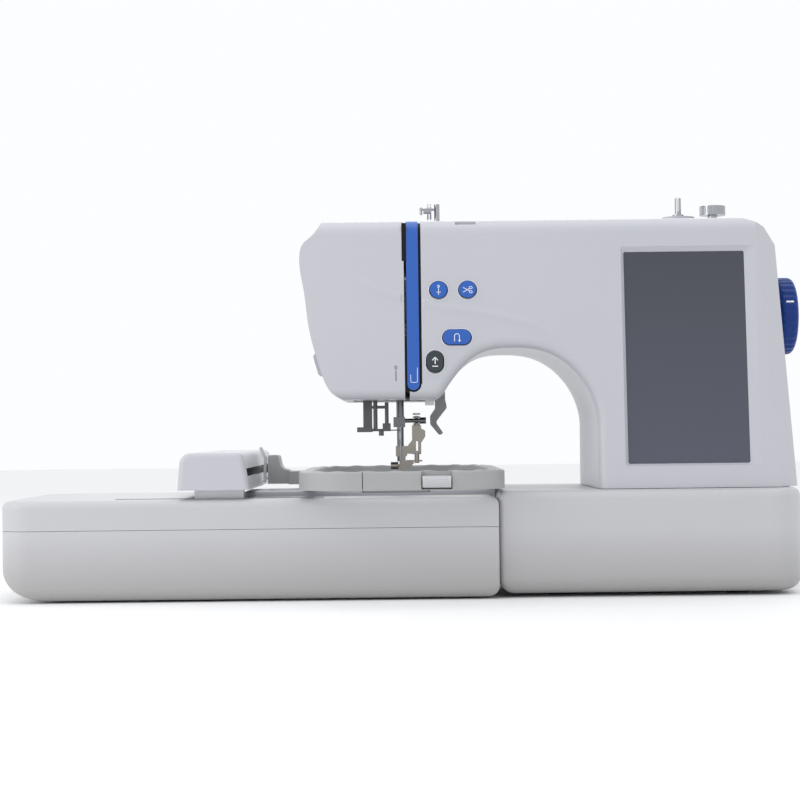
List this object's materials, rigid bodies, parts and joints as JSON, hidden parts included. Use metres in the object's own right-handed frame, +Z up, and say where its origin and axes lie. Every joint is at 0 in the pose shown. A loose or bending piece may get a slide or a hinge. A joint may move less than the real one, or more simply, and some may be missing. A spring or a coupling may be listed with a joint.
{
  "type": "embroidery machine",
  "caption": "Free-arm embroidery machine with touch screen, handwheel, embroidery unit with a moving carriage, and a rectangular hoop under the needle.",
  "frame": {"origin": "middle of the footprint on the floor", "axes": "+X to the handwheel, +Y to the back, +Z up"},
  "size_m": [0.6308, 0.3338, 0.3157],
  "materials": {
    "shell_white": "satin gloss",
    "unit_white": "satin gloss",
    "blue_plastic": "gloss",
    "black_plastic": "satin",
    "dark_start": "gloss",
    "hoop_grey": "satin",
    "grey_plastic": "satin",
    "screen_glass": "polished",
    "chrome": "polished",
    "steel": "ground",
    "cast_alloy": "as cast",
    "rubber": "matte",
    "belt_rubber": "matte",
    "circuit": "solder resist",
    "lamp": "frosted"
  },
  "bodies": {
    "machine": {"base_housing": "shell_white", "bottom_plate": "grey_plastic", "bottom_screws": "steel", "rubber_feet": "rubber", "free_arm_housing": "shell_white", "needle_plate": "steel", "frame_casting": "cast_alloy", "front_cover": "shell_white", "face_cover": "shell_white", "rear_cover": "shell_white", "thread_channel": "black_plastic", "thread_guide_strip": "blue_plastic", "lcd_touch_panel": "screen_glass", "control_board": "circuit", "power_supply": "circuit", "power_inlet": "black_plastic", "usb_port": "steel", "head_lamp": "lamp", "top_thread_guide": "chrome", "winder_seat": "shell_white", "side_thread_cutter": "shell_white", "main_motor": "steel", "drive_belts": "belt_rubber", "bobbin_case": "black_plastic", "bobbin": "lamp"},
    "main_drive": {"handwheel": "blue_plastic", "main_shaft": "steel"},
    "lower_drive": {"lower_shaft": "steel"},
    "hook": {"rotary_hook": "steel"},
    "motor_rotor": {"motor_pulley": "steel"},
    "needle_carrier": {"needle_bar": "chrome", "needle_clamp": "chrome", "needle": "chrome"},
    "take_up": {"take_up_lever": "chrome"},
    "presser": {"presser_bar": "chrome", "embroidery_foot": "chrome"},
    "lifter": {"presser_lifter": "grey_plastic"},
    "needle_button": {"needle_position_button": "blue_plastic"},
    "cutter_button": {"thread_cutter_button": "blue_plastic"},
    "reverse": {"reverse_button": "blue_plastic"},
    "start_stop": {"start_stop_button": "dark_start"},
    "switch": {"power_switch": "black_plastic"},
    "winder": {"winder_spindle": "chrome"},
    "winder_knob": {"winder_stop": "chrome"},
    "bobbin_lid": {"bobbin_cover": "grey_plastic"},
    "feeder": {"feed_dogs": "steel"},
    "threader": {"needle_threader": "grey_plastic"},
    "embroidery_unit": {"unit_top_case": "unit_white", "unit_bottom_case": "unit_white", "unit_guide_rails": "steel", "unit_motor": "steel"},
    "unit_latch": {"unit_release_lever": "grey_plastic"},
    "carriage": {"carriage_base": "steel", "carriage_cover": "shell_white", "carriage_motor": "steel"},
    "holder": {"hoop_holder": "hoop_grey", "hoop_outer_frame": "hoop_grey"},
    "hoop_latch": {"hoop_release_lever": "steel"},
    "inner_hoop": {"hoop_inner_frame": "hoop_grey"},
    "hoop_adjuster": {"hoop_screw": "hoop_grey"}
  },
  "joints": [
    {"name": "handwheel_turn", "type": "hinge", "parent": "machine", "child": "main_drive", "pos_m": [0.2944, -0.0131, 0.219], "axis": [1, 0, 0], "continuous": true},
    {"name": "lower_shaft_turn", "type": "hinge", "parent": "machine", "child": "lower_drive", "pos_m": [-0.0056, -0.0231, 0.046], "axis": [1, 0, 0], "continuous": true},
    {"name": "hook_turn", "type": "hinge", "parent": "machine", "child": "hook", "pos_m": [-0.0063, -0.0376, 0.06], "axis": [0, 0, 1], "continuous": true},
    {"name": "motor_turn", "type": "hinge", "parent": "machine", "child": "motor_rotor", "pos_m": [0.2744, -0.0591, 0.112], "axis": [1, 0, 0], "continuous": true},
    {"name": "needle_bar_slide", "type": "slide", "parent": "machine", "child": "needle_carrier", "axis": [0, 0, 1], "range_m": [-0.032, 0]},
    {"name": "take_up_swing", "type": "hinge", "parent": "machine", "child": "take_up", "pos_m": [-0.0013, -0.0231, 0.21], "axis": [1, 0, 0], "range_deg": [-8, 42]},
    {"name": "presser_bar_lift", "type": "slide", "parent": "machine", "child": "presser", "axis": [0, 0, 1], "range_m": [0, 0.006]},
    {"name": "presser_lifter_turn", "type": "hinge", "parent": "machine", "child": "lifter", "pos_m": [0.0259, 0.0044, 0.167], "axis": [0, -1, 0], "range_deg": [0, 60]},
    {"name": "needle_position_press", "type": "slide", "parent": "machine", "child": "needle_button", "axis": [0, 0.9953, -0.0965], "range_m": [0, 0.001], "stiffness_N_per_m": 400},
    {"name": "thread_cutter_press", "type": "slide", "parent": "machine", "child": "cutter_button", "axis": [0, 0.9953, -0.0965], "range_m": [0, 0.001], "stiffness_N_per_m": 400},
    {"name": "reverse_press", "type": "slide", "parent": "machine", "child": "reverse", "axis": [0, 0.9953, -0.0965], "range_m": [0, 0.001], "stiffness_N_per_m": 400},
    {"name": "start_stop_press", "type": "slide", "parent": "machine", "child": "start_stop", "axis": [0, 0.9953, -0.0965], "range_m": [0, 0.001], "stiffness_N_per_m": 400},
    {"name": "power_switch_rock", "type": "hinge", "parent": "machine", "child": "switch", "pos_m": [0.2984, -0.0171, 0.035], "axis": [0, 0, 1], "range_deg": [-5, 5]},
    {"name": "winder_spin", "type": "hinge", "parent": "machine", "child": "winder", "pos_m": [0.2214, -0.0231, 0.3], "axis": [0, 0, 1], "continuous": true},
    {"name": "winder_stop_turn", "type": "hinge", "parent": "machine", "child": "winder_knob", "pos_m": [0.2494, -0.0231, 0.3], "axis": [0, 0, 1], "range_deg": [-90, 90]},
    {"name": "bobbin_cover_slide", "type": "slide", "parent": "machine", "child": "bobbin_lid", "axis": [0, -1, 0], "range_m": [0, 0.02]},
    {"name": "feed_dog_lift", "type": "slide", "parent": "machine", "child": "feeder", "axis": [0, 0, 1], "range_m": [0, 0.0026]},
    {"name": "threader_lower", "type": "slide", "parent": "machine", "child": "threader", "axis": [0, 0, 1], "range_m": [-0.012, 0]},
    {"name": "unit_slide_off", "type": "slide", "parent": "machine", "child": "embroidery_unit", "axis": [-1, 0, 0], "range_m": [0, 0.045]},
    {"name": "unit_latch_pull", "type": "hinge", "parent": "embroidery_unit", "child": "unit_latch", "pos_m": [-0.3076, -0.0281, 0.042], "axis": [0, -1, 0], "range_deg": [0, 8]},
    {"name": "carriage_x", "type": "slide", "parent": "embroidery_unit", "child": "carriage", "axis": [1, 0, 0], "range_m": [-0.055, 0.055]},
    {"name": "hoop_y", "type": "slide", "parent": "carriage", "child": "holder", "axis": [0, 1, 0], "range_m": [-0.1, 0.1]},
    {"name": "hoop_latch_turn", "type": "hinge", "parent": "holder", "child": "hoop_latch", "pos_m": [-0.1176, 0.0109, 0.091], "axis": [1, 0, 0], "range_deg": [0, 40]},
    {"name": "inner_hoop_lift", "type": "slide", "parent": "holder", "child": "inner_hoop", "axis": [0, 0, 1], "range_m": [0, 0.014]},
    {"name": "hoop_screw_turn", "type": "hinge", "parent": "holder", "child": "hoop_adjuster", "pos_m": [0.0201, -0.1625, 0.0908], "axis": [1, 0, 0], "continuous": true}
  ],
  "couplings": [
    {"joint": "lower_shaft_turn", "follows": "handwheel_turn", "ratio": 1},
    {"joint": "hook_turn", "follows": "handwheel_turn", "ratio": -2},
    {"joint": "motor_turn", "follows": "handwheel_turn", "ratio": 2.5},
    {"joint": "presser_lifter_turn", "follows": "presser_bar_lift", "rad_per_m": 174.53}
  ]
}
